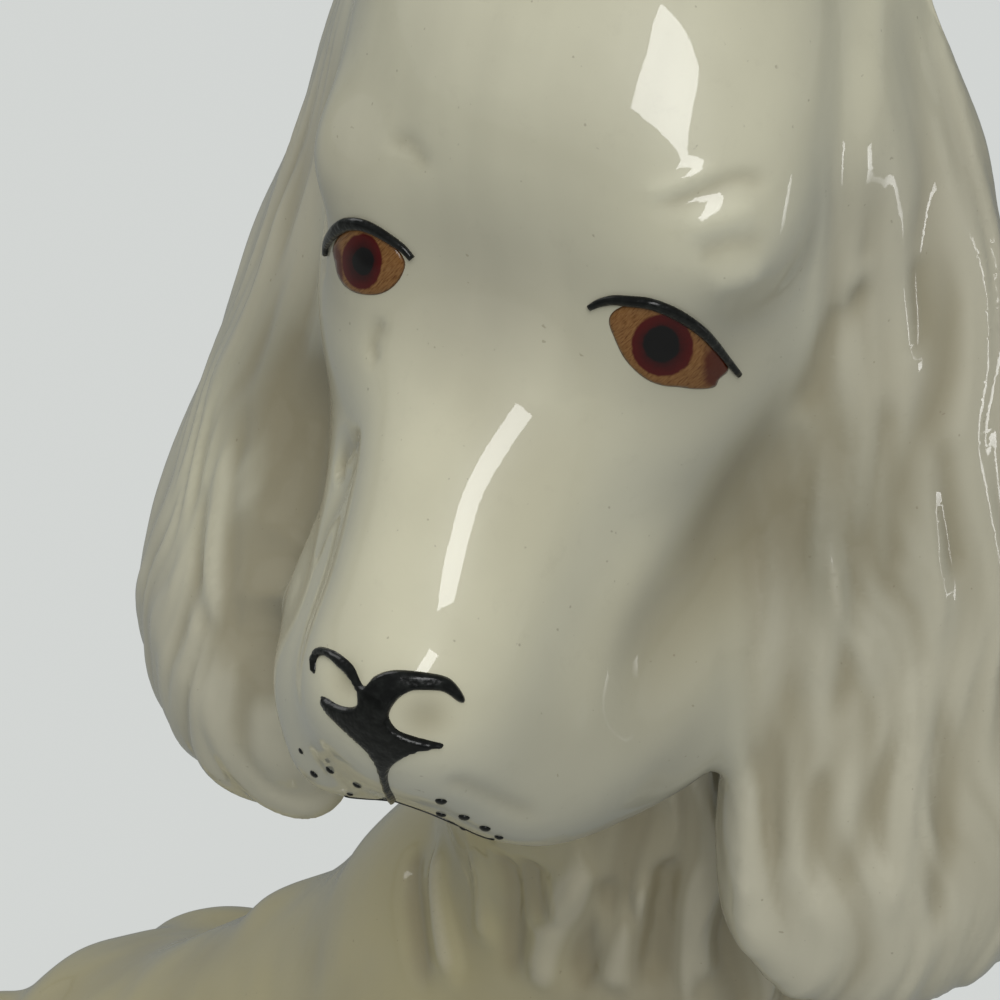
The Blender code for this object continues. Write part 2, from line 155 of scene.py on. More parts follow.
# The glazed skin, grown over the frame's castings: lengths in mm, and rounds of smoothing
skinForm = {"voxel": 0.9, "quickVoxel": 1.7, "quickRounds": 2.6, "rounds": 46, "spread": 0.6,
            "pullBack": -0.615, "settle": 20, "seamSettle": 36, "seamEdge": (0.1, 0.8), "seamBlend": 10,
            "ground": (2.5, 0.6), "neckSlice": 0.6, "neckRaise": 1.2, "touch": 0.8, "push": 1.6}
# The vent in the base, and the plug that closes it until the skin is pressed in there
vent = {"spot": (-45.6, 5.3), "radius": 4.0, "edge": 0.5, "facing": -0.7, "depth": 3.2,
        "plugRadius": 5.2, "plugDepth": 7.0, "plugMiddle": 3.7, "plugSides": 24}
castings = ["head_casting", "body_casting", "ear_left", "ear_right", "foreleg_left", "foreleg_right",
            "hind_leg_left", "hind_leg_right", "tail"]


def nodeArrays(name):
    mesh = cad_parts[name].data
    mesh.calc_loop_triangles()
    points = np.empty(len(mesh.vertices) * 3)
    mesh.vertices.foreach_get("co", points)
    faces = np.empty(len(mesh.loop_triangles) * 3, int)
    mesh.loop_triangles.foreach_get("vertices", faces)
    return points.reshape(-1, 3), faces.reshape(-1, 3)


def treeOf(points, faces):
    return BVHTree.FromPolygons([tuple(p) for p in points], [tuple(int(i) for i in f) for f in faces])


# Several meshes as one, and which of them each face came from
def joined(parts):
    points = [part[0] for part in parts]
    starts = np.cumsum([0] + [len(spots) for spots in points])
    faces = [part[1] + start for part, start in zip(parts, starts)]
    owner = [np.full(len(part[1]), index) for index, part in enumerate(parts)]
    return np.concatenate(points), np.concatenate(faces), np.concatenate(owner)


# The castings are pushed into each other, so that the skin runs over the luted joints
def closedForm():
    trunk = [treeOf(*nodeArrays(name)) for name in ("head_casting", "body_casting")]
    parts = []
    for name in castings + ["eye_left", "eye_right"]:
        points, faces = nodeArrays(name)
        if name == "body_casting":
            rise = inHead(points)[:, 2]
            top = rise > rise.max() - skinForm["neckSlice"]
            points[top] += headUp * skinForm["neckRaise"] * mm
        elif name != "head_casting":
            for index, point in enumerate(points):
                for tree in trunk:
                    spot, normal, face, gap = tree.find_nearest(Vector(point))
                    if gap < skinForm["touch"] * mm:
                        step = (spot - Vector(point)).normalized() * skinForm["push"] * mm
                        points[index] = Vector(point) + step
                        break
        parts.append((points, faces))
    parts.append(ventPlug())
    return joined(parts)[:2]


def ventPlug():
    work = bmesh.new()
    radius = vent["plugRadius"] * mm
    bmesh.ops.create_cone(work, cap_ends=True, segments=vent["plugSides"], radius1=radius, radius2=radius,
                          depth=vent["plugDepth"] * mm)
    x, y = vent["spot"]
    bmesh.ops.translate(work, verts=work.verts, vec=(x * mm, y * mm, vent["plugMiddle"] * mm))
    bmesh.ops.triangulate(work, faces=work.faces)
    points = np.array([tuple(v.co) for v in work.verts])
    faces = np.array([[v.index for v in f.verts] for f in work.faces])
    work.free()
    return points, faces


def meshOf(name, work):
    mesh = bpy.data.meshes.new(name)
    work.to_mesh(mesh)
    work.free()
    return mesh


def meshFrom(name, points, faces):
    mesh = bpy.data.meshes.new(name)
    mesh.from_pydata([tuple(p) for p in points], [], [tuple(int(i) for i in f) for f in faces])
    mesh.update()
    mesh.shade_smooth()
    return mesh


def remeshed(points, faces, voxel):
    item = newObject("rough_form", meshFrom("rough_form", points, faces))
    step = item.modifiers.new("grow", "REMESH")
    step.mode = "VOXEL"
    step.voxel_size = voxel * mm
    held = item.evaluated_get(bpy.context.evaluated_depsgraph_get()).to_mesh()
    out = np.empty(len(held.vertices) * 3)
    held.vertices.foreach_get("co", out)
    quads = np.empty(len(held.loops), int)
    held.loops.foreach_get("vertex_index", quads)
    bpy.data.objects.remove(item)
    return out.reshape(-1, 3), quads.reshape(-1, 4)


def edgesOf(quads):
    return np.concatenate([quads[:, [k, (k + 1) % 4]] for k in range(4)])


# Keeps the outer surface and drops the walls of the hollow
def outerSurface(points, quads):
    label = np.arange(len(points))
    ends = edgesOf(quads)
    while True:
        before = label.copy()
        low = np.minimum(label[ends[:, 0]], label[ends[:, 1]])
        np.minimum.at(label, ends[:, 0], low)
        np.minimum.at(label, ends[:, 1], low)
        label = label[label]
        if (label == before).all():
            break
    names, sizes = np.unique(label, return_counts=True)
    kept = label == names[sizes.argmax()]
    order = np.cumsum(kept) - 1
    return points[kept], order[quads[kept[quads[:, 0]]]]


# What each point's neighbours add up to
def neighbourSum(ends, values):
    count = len(values)
    total = np.bincount(ends[:, 0], values[ends[:, 1]], minlength=count)
    return total + np.bincount(ends[:, 1], values[ends[:, 0]], minlength=count)


# Smooths in steps forward and back, so that the form doesn't shrink. With back at 0 it settles
def smoothed(points, quads, rounds, held, back):
    ends = edgesOf(quads)
    near = neighbourSum(ends, np.ones(len(points)))[:, None]
    free = (1 - held)[:, None]
    points = points.copy()
    for turn in range(rounds * 2):
        weight = back if turn % 2 else skinForm["spread"]
        if weight:
            total = np.stack([neighbourSum(ends, points[:, k]) for k in range(3)], 1)
            points += (total / near - points) * weight * free
    return points


def normalsOf(points, quads):
    cross = np.cross(points[quads[:, 2]] - points[quads[:, 0]], points[quads[:, 3]] - points[quads[:, 1]])
    total = np.zeros_like(points)
    for k in range(4):
        for axis in range(3):
            total[:, axis] += np.bincount(quads[:, k], cross[:, axis], minlength=len(points))
    return total / np.maximum(np.linalg.norm(total, axis=1), 1e-12)[:, None]


def growSkin():
    voxel = skinForm["voxel"] * 1
    points, quads = outerSurface(*remeshed(*closedForm(), voxel))
    points = smoothed(points, quads, roundsOf("rounds"), onGround(points), skinForm["pullBack"])
    return aboveGround(points), quads


def roundsOf(name):
    return int(skinForm[name] / (1))


# 1 on the flat base, and 0 a few mm above it
def onGround(points):
    return ease(points[:, 2] / mm, *skinForm["ground"])


# Only z has a limit here: the other two are a metre away
def aboveGround(points):
    return np.maximum(points, (-1, -1, 0))


# Which casting each point of the skin belongs to
def regionsOf(points):
    nodePoints, nodeFaces, owner = joined([nodeArrays(name) for name in castings])
    tree = treeOf(nodePoints, nodeFaces)
    return np.array([owner[tree.find_nearest(Vector(p))[2]] for p in points])


# The share of each casting at each point, which fades over the joints
def softRegions(label, quads, rounds):
    ends = edgesOf(quads)
    near = neighbourSum(ends, np.ones(len(label)))
    region = {}
    for index, name in enumerate(castings):
        share = (label == index).astype(float)
        for _ in range(rounds):
            share = neighbourSum(ends, share) / near
        region[name] = share
    return region


# The slip at the joints is wiped smooth, and the skin settles a little all over
def wipeJoints(points, quads, label):
    wide = softRegions(label, quads, roundsOf("seamSettle"))
    joint = 2 * (1 - sum(share ** 2 for share in wide.values()))
    ground = onGround(points)
    points = smoothed(points, quads, roundsOf("settle"), ground, 0)
    held = np.maximum(ground, 1 - ease(joint, *skinForm["seamEdge"]))
    return aboveGround(smoothed(points, quads, roundsOf("seamSettle"), held, 0))


def quadsOf(name):
    return skinQuads[skinLabel[skinQuads[:, 0]] == castings.index(name)]


# The skin under a pixel of the photo, or nearest to a line of sight that misses
def landOn(tree, x, y):
    start, way = sight(x, y)
    spot, normal, face, reach = tree.ray_cast(start, way)
    if spot is not None:
        return spot, face
    near = [tree.find_nearest(start + way * step * mm) for step in range(*shot["search"])]
    spot, normal, face, reach = min(near, key=lambda found: found[3])
    return spot, face


# Modelling under the glaze. Each mark is a line of photo pixels with its half width and its height in
# mm. First come folds of the brow, the eye and the lip, and the wedge between cheek and ear
marks = [
    ([(640, 188), (668, 182), (702, 162)], 0.9, 0.3),
    ([(652, 204), (684, 196), (722, 178), (740, 196)], 1.0, -0.34),
    ([(676, 228), (706, 220), (738, 212)], 1.2, 0.42),
    ([(690, 250), (716, 240), (748, 236)], 1.0, -0.3),
    ([(704, 276), (726, 270), (750, 262)], 1.2, 0.42),
    ([(388, 152), (404, 141), (418, 154), (428, 176)], 1.1, -0.3),
    ([(386, 318), (375, 334), (372, 350), (380, 364)], 1.0, -0.4),
    ([(362, 441), (349, 447), (341, 458), (335, 480)], 1.1, -0.7),
    ([(358, 444), (353, 468), (340, 498), (324, 530), (312, 575)], 1.4, -0.4),
    ([(344, 462), (338, 480)], 1.2, -0.6),
    ([(441, 776), (470, 788), (505, 804), (545, 824)], 1.4, -0.3),
    ([(868, 274), (850, 303), (832, 335), (815, 385), (800, 430)], 2.0, -0.7),
    ([(872, 250), (852, 285), (836, 312)], 1.2, 0.25),
    ([(425, 715)], 2.6, -0.6),
    ([(345, 682)], 1.9, -0.5),
    # Locks of the near ear
    ([(919, 250), (921, 310), (917, 366)], 1.6, -0.35),
    ([(888, 384), (893, 450), (899, 528), (893, 610)], 1.5, -0.55),
    ([(926, 420), (931, 500), (938, 585), (936, 660)], 1.4, 0.5),
    ([(951, 430), (954, 510), (960, 590)], 1.5, -0.5),
    ([(862, 500), (858, 580), (850, 660), (836, 740)], 1.5, -0.6),
    ([(838, 540), (830, 620), (812, 700)], 1.5, 0.5),
    ([(880, 640), (876, 730), (862, 820), (850, 900)], 1.6, -0.6),
    ([(908, 660), (910, 760), (902, 850), (880, 950)], 1.6, 0.55),
    ([(800, 640), (782, 730), (772, 810), (778, 880)], 1.6, -0.5),
    ([(826, 760), (812, 840), (806, 920)], 1.5, -0.5),
    ([(945, 680), (950, 780), (940, 880), (925, 960)], 1.7, -0.6),
    ([(758, 760), (745, 840), (748, 920)], 1.7, 0.45),
    # Locks of the throat
    ([(418, 840), (412, 880), (416, 930), (426, 1000)], 2.2, -1.0),
    ([(446, 842), (438, 880), (443, 930), (456, 1000)], 2.2, 1.3),
    ([(476, 848), (481, 895), (484, 950)], 2.0, 0.9),
    ([(502, 850), (513, 900), (510, 990)], 2.2, -1.2),
    ([(530, 856), (535, 890), (548, 930)], 2.2, -1.2),
    ([(596, 862), (568, 900), (548, 945), (540, 1000)], 2.3, 1.4),
    ([(606, 870), (590, 925), (580, 1000)], 2.2, -1.3),
    ([(650, 870), (628, 935), (610, 1000)], 2.2, 1.3),
    ([(674, 850), (660, 915), (650, 1000)], 2.2, -1.2),
    ([(698, 850), (694, 920), (702, 990)], 2.2, 1.0),
]
# The far ear turns in beside the cheek
farEarMarks = [
    ([(318, 330), (314, 420), (304, 500), (290, 580), (284, 660), (290, 730)], 5.5, -2.4),
    ([(250, 380), (232, 480), (226, 580), (232, 680)], 1.8, -0.5),
    ([(205, 470), (196, 560), (205, 650)], 1.6, -0.5),
    ([(228, 440), (212, 540), (216, 640)], 1.5, 0.5),
]


# Soft fullness, each with a photo pixel, a radius and a height in mm. On the head, in order: brow, temple,
# crown and forehead, corner of the eye, muzzle, nose, right lip, and the valley behind the left lip
fullForms = {
    "head_casting": [(740, 190, 13, 3.0), (770, 90, 13, 2.2), (700, -60, 14, 1.9), (690, 60, 9, -0.6),
                     (640, 100, 9, 0.4), (700, 150, 9, 0.6), (580, 340, 8, 0.8), (455, 388, 7, -0.3),
                     (405, 470, 7, 0.8), (385, 570, 7, 0.8), (515, 520, 8, -0.5), (530, 430, 7, -0.4),
                     (415, 672, 6, 0.7), (316, 776, 5, 1.3), (850, 380, 8, -1.0), (790, 470, 8, -1.5),
                     (728, 558, 8, -1.8), (664, 640, 8, -1.5), (838, 442, 7, -1.0)],
    "ear_left": [(965, 2, 14, -4.6)],
    "ear_right": [(322, 792, 6, 3.0), (295, 790, 6, 1.2)],
    "body_casting": [(272, 905, 7, 1.6)],
}
# Points between the pixels of a mark, how many half widths it reaches, and its fade at both ends
markForm = {"steps": 4, "reach": 2.4, "fade": 0.22}


def formsMove(name, points):
    move = np.zeros(len(points))
    tree = treeOf(points * mm, quadsOf(name))
    for x, y, radius, height in fullForms[name]:
        move += height * bump(points, np.array(landOn(tree, x, y)[0]) / mm, (radius,) * 3)
    return move


def marksMove(points, tree, marks):
    move = np.zeros(len(points))
    fade = markForm["fade"]
    for pixels, half, height in marks:
        line = catmull(pixels, markForm["steps"], False) if len(pixels) > 1 else pixels
        spots = np.array([tuple(landOn(tree, x, y)[0]) for x, y in line]) / mm
        reach = markForm["reach"] * half
        near = ((points > spots.min(0) - reach) & (points < spots.max(0) + reach)).all(1)
        away, along = lineDistance(points[near], spots)
        share = ease(along, 0, fade) * ease(along, 1, 1 - fade) if len(spots) > 1 else 1
        move[near] += height * np.exp(-(away / half) ** 2) * share
    return move


# The distance of each point to a line of spots, and how far along the line, from 0 to 1
def lineDistance(points, spots):
    if len(spots) == 1:
        return np.linalg.norm(points - spots[0], axis=1), np.zeros(len(points))
    best = np.full(len(points), 1e9)
    along = np.zeros(len(points))
    for index in range(len(spots) - 1):
        run = spots[index + 1] - spots[index]
        share = np.clip((points - spots[index]) @ run / (run @ run), 0, 1)
        away = np.linalg.norm(points - spots[index] - share[:, None] * run, axis=1)
        near = away < best
        best = np.where(near, away, best)
        along = np.where(near, (index + share) / (len(spots) - 1), along)
    return best, along


# Hair runs one way: long soft locks with finer ones in them, and both sway. Sizes are across and along
hair = {"sway": 5.0, "swaySize": (14, 20), "broadSize": (3.6, 26.0), "broad": 1.1, "fineSize": (1.5, 13),
        "fine": 0.35, "ear": 0.85, "chest": 2.1, "leg": 0.4}


def lockNoise(across, along, size, seed):
    return noise.noise(Vector((across / size[0], along / size[1], seed)))


def locks(across, along, seed):
    lift = np.zeros(len(across))
    for k, (a, b) in enumerate(zip(across, along)):
        a = a + lockNoise(a, b, hair["swaySize"], seed) * hair["sway"]
        broad = lockNoise(a, b, hair["broadSize"], seed + 3)
        fine = lockNoise(a, b, hair["fineSize"], seed + 7)
        lift[k] = broad * hair["broad"] + fine * hair["fine"]
    return lift


# The ears' hair runs from top to low and fades towards the root
earHair = {
    "left": {"side": 1, "top": (27.0, 29.0, 20.0), "low": (46.5, 9.0, -71.0), "seed": 11},
    "right": {"side": -1, "top": (23.0, 29.0, 20.0), "low": (41.5, 11.0, -69.5), "seed": 20},
}
earForm = {"yaw": 45.0, "root": (104, 62)}


def earCoordinates(points, facts):
    flip = np.array([facts["side"], 1, 1])
    top = np.array(eyeMiddle) + np.array(facts["top"]) * flip
    low = np.array(eyeMiddle) + np.array(facts["low"]) * flip
    run = (top - low) / np.linalg.norm(top - low)
    turn = math.radians(earForm["yaw"])
    wide = np.array([facts["side"] * math.sin(turn), math.cos(turn), 0])
    wide = wide - run * (wide @ run)
    wide = wide / np.linalg.norm(wide)
    away = points - low
    return away @ run, away @ wide


# Grooves between the toes. The line goes by distances from the tip, and heights
toes = {"half": 1.5, "depth": -1.1, "places": (-0.42, 0.0, 0.42), "fade": 0.35,
        "line": [(-15.0, 16), (-4, 12), (0, 5), (0, 0)], "pawHeight": 9, "pawLength": 12, "spare": 1}


def toeMove(points, name):
    low, high = [np.array(corner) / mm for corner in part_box(name)]
    paw = points[(points[:, 2] < toes["pawHeight"]) & (points[:, 0] > high[0] - toes["pawLength"])]
    paw = paw[(paw[:, 1] > low[1] - toes["spare"]) & (paw[:, 1] < high[1] + toes["spare"])]
    middle = (paw[:, 1].max() + paw[:, 1].min()) / 2
    half = (paw[:, 1].max() - paw[:, 1].min()) / 2
    move = np.zeros(len(points))
    for place in toes["places"]:
        line = [(high[0] + back, middle + place * half, rise) for back, rise in toes["line"]]
        line = np.array([tuple(roughTree.find_nearest(Vector(spot) * mm)[0]) for spot in line]) / mm
        away, along = lineDistance(points, line)
        move += toes["depth"] * np.exp(-(away / toes["half"]) ** 2) * ease(along, 0, toes["fade"])
    return move


# The chest's hair goes round an upright line; the forelegs' hair hangs behind them
chestHair = {"middle": (36, 5.3), "turn": 0.2, "front": (-0.15, 0.55), "rise": (46, 92), "girth": 27,
             "seed": 31}
legHair = {"back": (52, 40), "top": (96, 70), "foot": (12, 30), "seed": 47}
# Unevenness of the body under the glaze: size, seed and height
bodyWaves = [(17, 3, 0.5), (7, 5, 0.16)]
trace = 0.02
# How much a hollow of the face counts as relief, which the glaze darkens with painted shade
faceHollowShadeShare = 0.35


def hairMove(body, region):
    move = np.zeros(len(body))

    def comb(mine, share, across, along, seed, height):
        move[mine] += locks(across[mine], along[mine], seed) * height * share[mine]

    for word, facts in earHair.items():
        along, across = earCoordinates(body, facts)
        share = region["ear_" + word]
        comb(share > trace, ease(along, *earForm["root"]) * share, across, along, facts["seed"], hair["ear"])
    legs = region["foreleg_left"] + region["foreleg_right"]
    x, y = chestHair["middle"]
    turned = np.arctan2(body[:, 1] - y, body[:, 0] - x)
    front = ease(np.cos(turned - chestHair["turn"]), *chestHair["front"])
    front = front * ease(body[:, 2], *chestHair["rise"])
    share = (region["body_casting"] + legs) * front * belowHead(region)
    comb(share > trace, share, turned * chestHair["girth"], body[:, 2], chestHair["seed"], hair["chest"])
    share = legs * ease(body[:, 0], *legHair["back"])
    share = share * ease(body[:, 2], *legHair["top"]) * ease(body[:, 2], *legHair["foot"])
    comb(share > trace, share, body[:, 1] + body[:, 0], body[:, 2], legHair["seed"], hair["leg"])
    return move


def belowHead(region):
    return 1 - region["head_casting"] - region["ear_left"] - region["ear_right"]


def sculpt(points, normals, region):
    body = points / mm
    forms = {name: formsMove(name, body) for name in fullForms}
    move = marksMove(body, roughTree, marks)
    farEar = treeOf(points, quadsOf("ear_right"))
    move += marksMove(body, farEar, farEarMarks) * ease(region["ear_right"], 0.1, 0.6)
    move += hairMove(body, region)
    for name in ("foreleg_left", "foreleg_right", "hind_leg_left", "hind_leg_right"):
        move += toeMove(body, name)
    rest = belowHead(region)
    mine = rest > trace
    for size, seed, height in bodyWaves:
        move[mine] += cloud(points[mine], size, seed) * height * rest[mine]
    held = onGround(points)
    away = np.hypot(body[:, 0] - vent["spot"][0], body[:, 1] - vent["spot"][1])
    pressed = ease(away, vent["radius"] + vent["edge"], vent["radius"] - vent["edge"])
    pressed = pressed * (normals[:, 2] < vent["facing"])
    made = points + normals * ((move + sum(forms.values())) * (1 - held) * mm)[:, None]
    made[:, 2] = np.maximum(made[:, 2], 0) + pressed * held * vent["depth"] * mm
    # Face hollows join the relief, which the glaze darkens with painted shade
    return made, move + np.minimum(forms["head_casting"], 0) * faceHollowShadeShare


print("growing the skin")
skinPoints, skinQuads = growSkin()
print("skin has", len(skinPoints), "points")
print("sorting the skin by casting")
skinLabel = regionsOf(skinPoints)
skinPoints = wipeJoints(skinPoints, skinQuads, skinLabel)
skinRegion = softRegions(skinLabel, skinQuads, skinForm["seamBlend"])
print("modelling the hair and the folds")
roughTree = treeOf(skinPoints, skinQuads)
skinPoints, skinRelief = sculpt(skinPoints, normalsOf(skinPoints, skinQuads), skinRegion)
skinNormals = normalsOf(skinPoints, skinQuads)


# A number, colour or vector in a shader, with sums written as sums
class Flow:
    def __init__(self, tree, out):
        self.tree = tree
        self.out = out

    def maths(self, operation, *values):
        node = self.tree.nodes.new("ShaderNodeMath")
        node.operation = operation
        for socket_shade, value in zip(node.inputs, values):
            plug(self.tree, socket_shade, value)
        return Flow(self.tree, node.outputs[0])

    def __add__(self, other):
        return self.maths("ADD", self, other)

    def __radd__(self, other):
        return self.maths("ADD", other, self)

    def __sub__(self, other):
        return self.maths("SUBTRACT", self, other)

    def __rsub__(self, other):
        return self.maths("SUBTRACT", other, self)

    def __mul__(self, other):
        return self.maths("MULTIPLY", self, other)

    def __rmul__(self, other):
        return self.maths("MULTIPLY", other, self)

    def __truediv__(self, other):
        return self.maths("DIVIDE", self, other)

    def __rtruediv__(self, other):
        return self.maths("DIVIDE", other, self)

    def __pow__(self, other):
        return self.maths("POWER", self, other)


def plug(tree, socket_shade, value):
    if isinstance(value, Flow):
        tree.links.new(value.out, socket_shade)
    elif socket_shade.type == "RGBA" and len(value) == 3:
        socket_shade.default_value = (*value, 1)
    else:
        socket_shade.default_value = value


class Finish:
    def __init__(self, name):
        self.material = bpy.data.materials.new(name)
        self.material.use_nodes = True
        self.tree = self.material.node_tree
        self.shader = self.tree.nodes["Principled BSDF"]

    def node(self, kind, settings=None, values=None, out=0):
        made = self.tree.nodes.new("ShaderNode" + kind)
        for key, value in (settings or {}).items():
            setattr(made, key, value)
        for key, value in (values or {}).items():
            plug(self.tree, made.inputs[key], value)
        return Flow(self.tree, made.outputs[out])

    def spot(self):
        return self.node("TexCoord", out="Object")

    def noise(self, vector, scale, detail, rough):
        values = {"Vector": vector, "Scale": scale, "Detail": detail, "Roughness": rough}
        return self.node("TexNoise", {"noise_dimensions": "3D"}, values, "Fac")

    # Soft noise of a size in mm
    def cloudy(self, size, detail=3.0, rough=0.5):
        return self.noise(self.spot(), 1 / (size * mm), detail, rough)

    def layer(self, name, out="Fac"):
        return self.node("Attribute", {"attribute_name": name}, out=out)

    def axis(self, vector, number):
        return self.node("SeparateXYZ", None, {0: vector}, number)

    # A colour mix has its colours at the inputs 6 and 7 and at output 2
    def mixed(self, share, first, second):
        return self.node("Mix", {"data_type": "RGBA"}, {0: share, 6: first, 7: second}, 2)

    def smoothStep(self, value, low, high):
        values = {"Value": value, "From Min": low, "From Max": high}
        return self.node("MapRange", {"interpolation_type": "SMOOTHSTEP"}, values)

    def raised(self, height, strength, depth):
        values = {"Height": height, "Strength": strength, "Distance": depth * mm}
        return self.node("Bump", None, values)

    def put(self, **values):
        for key, value in values.items():
            plug(self.tree, self.shader.inputs[key.replace("_", " ")], value)
        return self.material


# From the 0 to 255 of a picture to the linear shades of a shader
def linear(red, green, blue):
    shade = []
    for value in (red, green, blue):
        value = value / 255
        shade.append(value / 12.92 if value <= 0.04045 else ((value + 0.055) / 1.055) ** 2.4)
    return tuple(shade)


# Clear glaze over tinted porcelain, with painted light and shade: lighter and warmer where the head faces
# up, darker and cooler where it faces down. Relief tones, painted shade in the grooves and hollows and
# painted light on the ridges, begin and are full at a height in mm. Stains are noise: size in mm, detail,
# roughness, begin, full, share, shade. The foot is bare low down. Ripple: broad size, fine size, share of
# the fine, strength, depth
glazeLook = {
    "lit_warm": linear(214, 210, 184),
    "shaded_cool": linear(198, 197, 183),
    "brow": linear(206, 203, 180),
    # Painted shade: under the lips, round the eyes and between them, and in the valleys behind the lips
    "lip": linear(158, 156, 141),
    "socket_shade": linear(172, 168, 150),
    "valley": linear(147, 143, 124),
    "ear": linear(196, 191, 170),
    "body": linear(179, 170, 133),
    # The chest is darker, partly as painted shade under the head
    "chest": linear(160, 152, 127),
    # Painted shade in the grooves and hollows, painted light on the ridges
    "hollow": linear(136, 126, 98),
    "ridge_light": linear(206, 200, 180),
    "bisque": linear(214, 207, 190),
    "relief": [(0.25, -0.9, 0.65, "hollow"), (0.35, 1.3, 0.45, "ridge_light")],
    "stains": [
        (11, 4, 0.5, 0.35, 0.7, 0.14, linear(172, 167, 146)),
        (3.2, 4, 0.7, 0.56, 0.75, 0.1, linear(160, 154, 134)),
        (0.8, 1, 0.5, 0.76, 0.82, 0.4, linear(122, 110, 88)),
    ],
    "foot": (1.2, 0.4),
    "ripple": (14, 2.6, 0.22, 0.16, 1.0),
    "rough": (0.34, 6, 0.08, 0.4),
    "gloss": {"Coat_Roughness": 0.03, "Coat_IOR": 1.5, "Specular_IOR_Level": 0.3},
}
# Places on the head with a tone laid on, each with its middle and radii in the head's frame and a strength.
# The brow is a little darker; the rest is painted shade round the eyes, in the valleys behind the lips and
# under the lips, and a painted pool of light on the far ear
toneLightAndShadePlaces = [
    ("brow", (-6, 0, 26), (26, 40, 16), 0.9),
    # Painted shade round the eyes and between them
    ("socket_shade", (2, 21, 1), (9, 10, 9), 0.7),
    ("socket_shade", (2, -21, 1), (9, 10, 9), 0.9),
    ("socket_shade", (8, 0, 8), (12, 13, 9), 0.8),
    ("socket_shade", (0, -19, 13), (8, 6, 10), 0.5),
    # A painted pool of light on the outer side of the far ear
    ("lit_warm", (10, -45, -40), (14, 9, 22), 0.9),
    # Painted shade in the valleys behind the lips, and under the lips where they face down
    ("valley", (4, 31, -27), (12, 14, 17), 0.9),
    ("valley", (4, -31, -27), (12, 14, 17), 0.9),
    ("lip", (29, 17, -43), (17, 14, 12), 1.0),
    ("lip", (29, -17, -43), (17, 14, 12), 1.0),
    ("lip", (39, 17, -27), (9, 8, 9), 0.6),
]


def blended(tone, shade, share):
    return tone + (np.array(glazeLook[shade]) - tone) * np.clip(share, 0, 1)[:, None]


# Where the tones fade, from nothing to full: the chest, darker partly as painted shade under the head, goes
# round an upright line, the skull turns darker and cooler as it faces down, as painted shade, and the nape
# takes the body's tone. Strokes are streaks on the brow
toneForm = {
    "middle": (36, 5), "front": (-0.2, 0.6), "rise": (40, 90), "facing": (0.75, -0.25),
    "nape": {"rise": (-8, -48), "back": (4, -24)}, "ears": (264, 240),
    "stroke": {"across": 0.9, "slant": 0.5, "seed": 61, "height": 0.05},
}


def glazeToneAndShade(points, normals, region):
    head = inHead(points)
    body = points / mm
    tone = np.tile(np.array(glazeLook["body"]), (len(points), 1))
    # The front of the chest is darker, partly as painted shade under the head
    x, y = toneForm["middle"]
    front = ease(np.cos(np.arctan2(body[:, 1] - y, body[:, 0] - x)), *toneForm["front"])
    tone = blended(tone, "chest", front * ease(body[:, 2], *toneForm["rise"]))
    # Painted light and shade on the skull: lighter and warmer where it faces up, darker and cooler facing
    # down
    skull = np.tile(np.array(glazeLook["lit_warm"]), (len(points), 1))
    skull = blended(skull, "shaded_cool", ease(normals @ headUp, *toneForm["facing"]))
    nape = ease(head[:, 2], *toneForm["nape"]["rise"]) * ease(head[:, 0], *toneForm["nape"]["back"])
    ears = region["ear_left"] + region["ear_right"]
    upper = region["head_casting"] + ears
    tone = tone + (skull - tone) * (upper * (1 - nape))[:, None]
    tone = blended(tone, "ear", ears * ease(body[:, 2], *toneForm["ears"]))
    for shade, middle, radii, strength in toneLightAndShadePlaces:
        tone = blended(tone, shade, bump(head, middle, radii) * strength * upper)
    mine = (region["head_casting"] > 0.5) & (head[:, 2] > 0)
    facts = toneForm["stroke"]
    across = head[mine, 1] * facts["across"]
    along = head[mine, 2] + head[mine, 0] * facts["slant"]
    stroke = np.ones(len(points))
    stroke[mine] += locks(across, along, facts["seed"]) * facts["height"]
    return tone * stroke[:, None]


def glazeFinish():
    look = Finish("clear_glaze_over_porcelain")
    colour = look.layer("tone", "Color")
    # From the relief: painted shade in the grooves and hollows, painted light on the ridges
    for low, high, share, shade in glazeLook["relief"]:
        there = look.smoothStep(look.layer("relief"), low, high)
        colour = look.mixed(there * share, colour, glazeLook[shade])
    for size, detail, grain, low, high, share, shade in glazeLook["stains"]:
        there = look.smoothStep(look.cloudy(size, detail, grain), low, high)
        colour = look.mixed(there * share, colour, shade)
    high, low = glazeLook["foot"]
    foot = look.smoothStep(look.axis(look.spot(), 2), high * mm, low * mm)
    colour = look.mixed(foot, colour, glazeLook["bisque"])
    broad, fine, share, strength, depth = glazeLook["ripple"]
    normal = look.raised(look.cloudy(broad, 2) + look.cloudy(fine, 2) * share, strength, depth)
    base, size, share, bare = glazeLook["rough"]
    rough = base + look.cloudy(size, 2) * share + foot * bare
    return look.put(Base_Color=colour, Roughness=rough, Normal=normal, Coat_Weight=1 - foot,
                    **glazeLook["gloss"])


def addLayer(mesh, name, kind, field, values):
    layer = mesh.attributes.new(name, kind, "POINT")
    layer.data.foreach_set(field, values.ravel())


def addPiece(mesh, material, nodes):
    mesh.materials.append(material)
    piece = newObject(mesh.name, mesh)
    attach(piece, "root")
    if nodes:
        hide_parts(*nodes)


